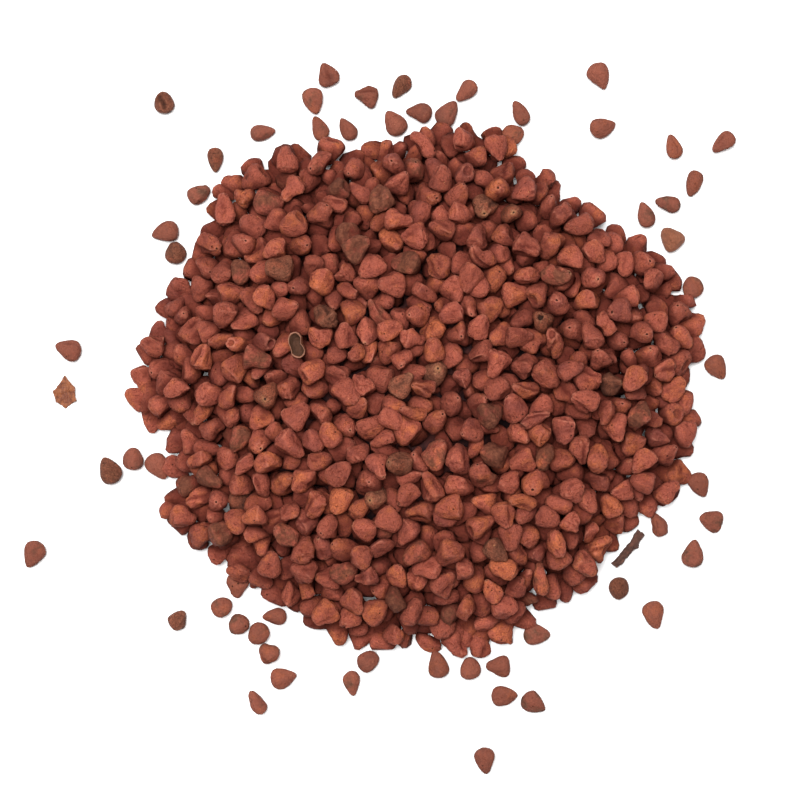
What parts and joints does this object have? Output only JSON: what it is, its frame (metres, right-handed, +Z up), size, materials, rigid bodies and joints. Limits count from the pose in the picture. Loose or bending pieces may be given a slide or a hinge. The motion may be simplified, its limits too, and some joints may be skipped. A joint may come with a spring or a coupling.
{
  "type": "heap of annatto seeds",
  "caption": "Low heap of dry, brick-red annatto seeds lying as poured on a flat surface, with stray seeds, a chip of husk and a bit of twig around it.",
  "frame": {"origin": "middle of the heap's flat base, on the surface that the seeds lie on", "axes": "+Z up; +X to the right and +Y away from the viewer when the heap is looked down on as pictured"},
  "size_m": [0.1203, 0.1207, 0.016],
  "materials": {
    "seed_coat": "matte, dusty, finely wrinkled dry seed coat, brick red",
    "brown_seed_coat": "matte dry seed coat, dark grey-brown where the red dust is rubbed off",
    "golden_husk": "fibrous golden-brown husk, slightly shiny",
    "bark": "rough dark bark"
  },
  "bodies": {
    "root": {"drop_seed_06": "seed_coat", "drop_seed_11": "seed_coat", "drop_seed_12": "seed_coat", "drop_seed_13": "seed_coat", "drop_seed_17": "seed_coat", "drop_seed_18": "seed_coat", "drop_seed_26": "seed_coat", "drop_seed_27": "seed_coat", "drop_seed_30": "seed_coat", "drop_seed_32": "seed_coat", "drop_seed_33": "seed_coat", "drop_seed_34": "seed_coat", "drop_seed_35": "seed_coat", "drop_seed_37": "seed_coat", "drop_seed_39": "seed_coat", "drop_seed_43": "seed_coat", "drop_seed_51": "seed_coat", "drop_seed_52": "brown_seed_coat", "drop_seed_54": "seed_coat", "drop_seed_55": "seed_coat", "drop_seed_56": "seed_coat", "heap": "seed_coat", "horned_seed_02": "seed_coat", "horned_seed_05": "seed_coat", "horned_seed_08": "seed_coat", "horned_seed_24": "golden_husk", "horned_seed_28": "seed_coat", "horned_seed_36": "seed_coat", "horned_seed_49": "seed_coat", "husk_chip": "golden_husk", "round_seed_01": "brown_seed_coat", "round_seed_16": "seed_coat", "round_seed_25": "seed_coat", "round_seed_31": "brown_seed_coat", "round_seed_38": "seed_coat", "round_seed_40": "seed_coat", "round_seed_44": "seed_coat", "round_seed_46": "seed_coat", "round_seed_47": "seed_coat", "round_seed_48": "seed_coat", "round_seed_50": "brown_seed_coat", "round_seed_53": "seed_coat", "round_seed_57": "brown_seed_coat", "slim_seed_03": "brown_seed_coat", "slim_seed_04": "seed_coat", "slim_seed_07": "seed_coat", "slim_seed_09": "seed_coat", "slim_seed_10": "brown_seed_coat", "slim_seed_14": "seed_coat", "slim_seed_15": "seed_coat", "slim_seed_19": "seed_coat", "slim_seed_20": "seed_coat", "slim_seed_21": "seed_coat", "slim_seed_22": "seed_coat", "slim_seed_23": "seed_coat", "slim_seed_29": "seed_coat", "slim_seed_41": "seed_coat", "slim_seed_42": "seed_coat", "slim_seed_45": "seed_coat", "twig": "bark"}
  },
  "joints": []
}
